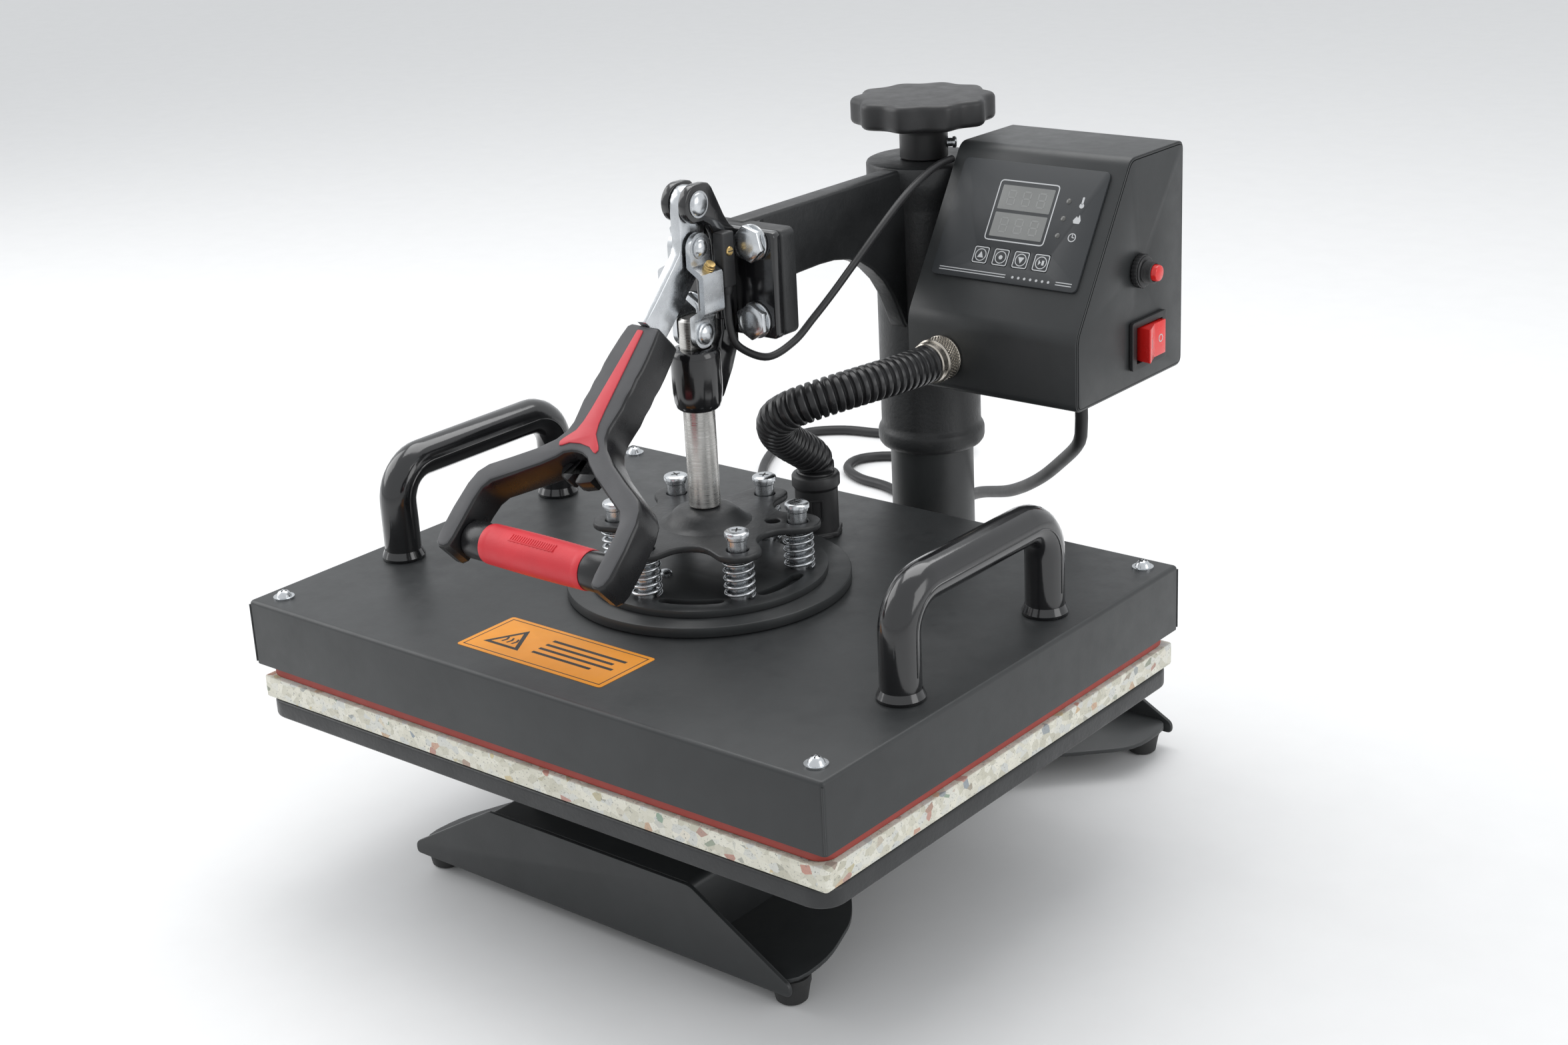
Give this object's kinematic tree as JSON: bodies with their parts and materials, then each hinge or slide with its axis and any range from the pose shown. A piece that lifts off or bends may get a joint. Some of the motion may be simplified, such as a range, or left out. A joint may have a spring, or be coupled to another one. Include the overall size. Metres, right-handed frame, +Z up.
{
  "type": "swing-away heat press",
  "caption": "Bench heat press: a toggle lever lowers a spring-backed heating platen that swings aside on its post, with a pressure knob and a control box.",
  "frame": {"origin": "on the table, under the middle of the machine without its mains cord", "axes": "+X to the operator's right, +Y to the rear, +Z up"},
  "size_m": [0.6128, 0.7934, 0.3828],
  "materials": {
    "powder_black": "fine satin powder coat",
    "gloss_black": "gloss paint",
    "satin_plastic": "satin moulded plastic",
    "rubber_black": "matt",
    "zinc": "bright zinc plate",
    "steel": "ground",
    "aluminium": "machined",
    "nickel": "nickel plate",
    "silicone_red": "matt silicone",
    "foam_speckled": "open speckled foam",
    "grip_red": "satin",
    "switch_red": "gloss",
    "panel_grey": "fine matt film",
    "board_green": "lacquered laminate"
  },
  "bodies": {
    "base": {"base_frame": "powder_black", "platen_support": "powder_black", "foot_front_left": "rubber_black", "foot_front_right": "rubber_black", "foot_rear_left": "rubber_black", "foot_rear_right": "rubber_black", "post": "powder_black", "lower_platen": "powder_black", "foam_pad": "foam_speckled", "silicone_pad": "silicone_red", "power_cord": "rubber_black", "power_plug": "rubber_black"},
    "swing_bearing": {"thrust_washer": "steel"},
    "arm": {"swing_arm": "powder_black", "clamp_bracket": "gloss_black", "lever_pivot_pin": "zinc", "clamp_bolt_lower_left": "zinc", "clamp_bolt_lower_right": "zinc", "clamp_bolt_upper_left": "zinc", "clamp_bolt_upper_right": "zinc", "control_box": "powder_black", "box_side_cover": "powder_black", "control_panel": "panel_grey", "control_board": "board_green", "conduit_gland": "nickel", "conduit": "satin_plastic", "switch_bezel": "satin_plastic", "breaker_body": "satin_plastic", "closing_sensor": "satin_plastic", "sensor_cable": "rubber_black", "cord_strain_relief": "rubber_black"},
    "knob": {"pressure_knob": "satin_plastic", "pressure_spindle": "zinc"},
    "lever": {"lever_bar": "zinc", "handle_body": "satin_plastic", "handle_grip": "grip_red", "link_pin": "zinc"},
    "toggle_links": {"toggle_link_left": "zinc", "toggle_link_right": "zinc"},
    "plunger": {"plunger_rod": "steel", "spider_plate": "powder_black"},
    "heater": {"heater_plate": "aluminium", "heater_cover": "powder_black", "pressure_disc": "powder_black", "spring_disc": "powder_black", "side_handle_left": "gloss_black", "side_handle_right": "gloss_black", "conduit_connector": "satin_plastic", "spring_1": "zinc", "spring_2": "zinc", "spring_3": "zinc", "spring_4": "zinc", "spring_5": "zinc", "spring_6": "zinc"},
    "up_key": {"key_up": "panel_grey"},
    "set_key": {"key_set": "panel_grey"},
    "down_key": {"key_down": "panel_grey"},
    "start_key": {"key_start": "panel_grey"},
    "breaker_reset": {"reset_button": "switch_red"},
    "rocker": {"power_rocker": "switch_red"}
  },
  "joints": [
    {"name": "arm_swing", "type": "hinge", "parent": "base", "child": "swing_bearing", "pos_m": [0, 0.151, 0.3], "axis": [0, 0, 1], "range_deg": [-90, 90], "deforming": ["power_cord"]},
    {"name": "pressure_travel", "type": "slide", "parent": "swing_bearing", "child": "arm", "axis": [0, 0, 1], "range_m": [0, 0.012]},
    {"name": "knob_turn", "type": "hinge", "parent": "arm", "child": "knob", "pos_m": [0, 0.151, 0.36], "axis": [0, 0, 1], "range_deg": [0, 2161]},
    {"name": "lever", "type": "hinge", "parent": "arm", "child": "lever", "pos_m": [0, -0.049, 0.362], "axis": [-1, 0, 0], "range_deg": [0, 97]},
    {"name": "link_pivot", "type": "hinge", "parent": "lever", "child": "toggle_links", "pos_m": [0, -0.049, 0.34], "axis": [-1, 0, 0], "range_deg": [-126.9, 0]},
    {"name": "heater_lift", "type": "slide", "parent": "arm", "child": "heater", "axis": [0, 0, 1], "range_m": [0, 0.0246], "deforming": ["conduit"]},
    {"name": "spring_stretch", "type": "slide", "parent": "heater", "child": "plunger", "axis": [0, 0, 1], "range_m": [0, 0.0061], "deforming": ["spring_1", "spring_2", "spring_3", "spring_4", "spring_5", "spring_6"]},
    {"name": "up_key_press", "type": "slide", "parent": "arm", "child": "up_key", "axis": [0, 0.8368, -0.5475], "range_m": [0, 0.0005], "stiffness_N_per_m": 500},
    {"name": "set_key_press", "type": "slide", "parent": "arm", "child": "set_key", "axis": [0, 0.8368, -0.5475], "range_m": [0, 0.0005], "stiffness_N_per_m": 500},
    {"name": "down_key_press", "type": "slide", "parent": "arm", "child": "down_key", "axis": [0, 0.8368, -0.5475], "range_m": [0, 0.0005], "stiffness_N_per_m": 500},
    {"name": "start_key_press", "type": "slide", "parent": "arm", "child": "start_key", "axis": [0, 0.8368, -0.5475], "range_m": [0, 0.0005], "stiffness_N_per_m": 500},
    {"name": "breaker_reset_press", "type": "slide", "parent": "arm", "child": "breaker_reset", "axis": [-1, 0, 0], "range_m": [0, 0.003], "stiffness_N_per_m": 400},
    {"name": "rocker_tilt", "type": "hinge", "parent": "arm", "child": "rocker", "pos_m": [0.1403, 0.1557, 0.26], "axis": [0, 0, -1], "range_deg": [0, 22]}
  ],
  "couplings": [
    {"joint": "knob_turn", "follows": "pressure_travel", "rad_per_m": 3141.6},
    {"joint": "link_pivot", "follows": "lever", "ratio": -1.3069},
    {"joint": "heater_lift", "follows": "lever", "m_per_rad": 0.014472},
    {"joint": "spring_stretch", "follows": "lever", "m_per_rad": 0.003544}
  ]
}
